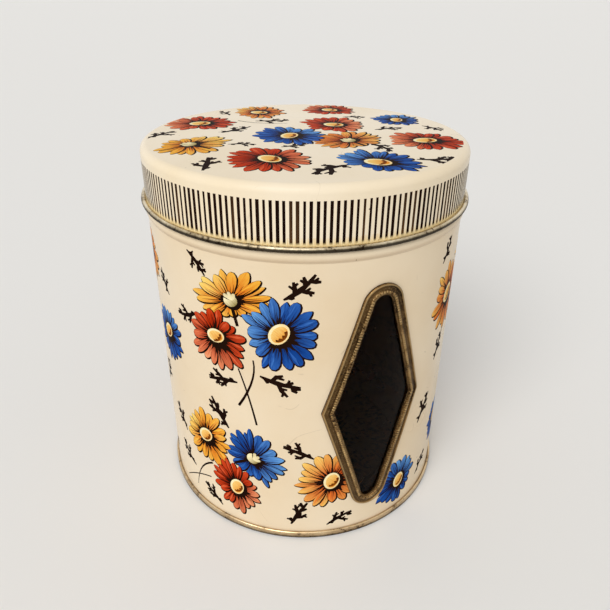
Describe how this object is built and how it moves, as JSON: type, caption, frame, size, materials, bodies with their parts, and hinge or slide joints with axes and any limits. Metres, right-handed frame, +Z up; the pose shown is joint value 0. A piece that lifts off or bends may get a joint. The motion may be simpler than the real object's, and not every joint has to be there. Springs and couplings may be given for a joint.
{
  "type": "lidded window tin",
  "caption": "Round tinplate canister with a lift-off lid, a rolled bead under it, a double-seamed base and a framed diamond window in its side.",
  "frame": {"origin": "centre of the base, on the plane that the tin stands on", "axes": "+Z up along the tin's axis, -Y the way that the window faces, +X to the right when the window is looked at"},
  "size_m": [0.1176, 0.1176, 0.1395],
  "materials": {
    "wall": "gloss cream lacquer with a printed pattern of daisies",
    "base": "bare gold-toned tinplate, a little worn",
    "lid": "gloss cream lacquer with daisies on top and dark stripes round the skirt",
    "bezel": "tarnished plating, coined bead",
    "pane": "clear sheet, faintly scratched",
    "retainer": "plain tinplate"
  },
  "bodies": {
    "tin": {"body_wall": "wall", "base_end": "base", "window_bezel": "bezel", "window_pane": "pane", "window_retainer": "retainer"},
    "lid": {"lid": "lid"}
  },
  "joints": [
    {"name": "lid_lift", "type": "slide", "parent": "tin", "child": "lid", "axis": [0, 0, 1], "range_m": [0, 0.03]}
  ]
}
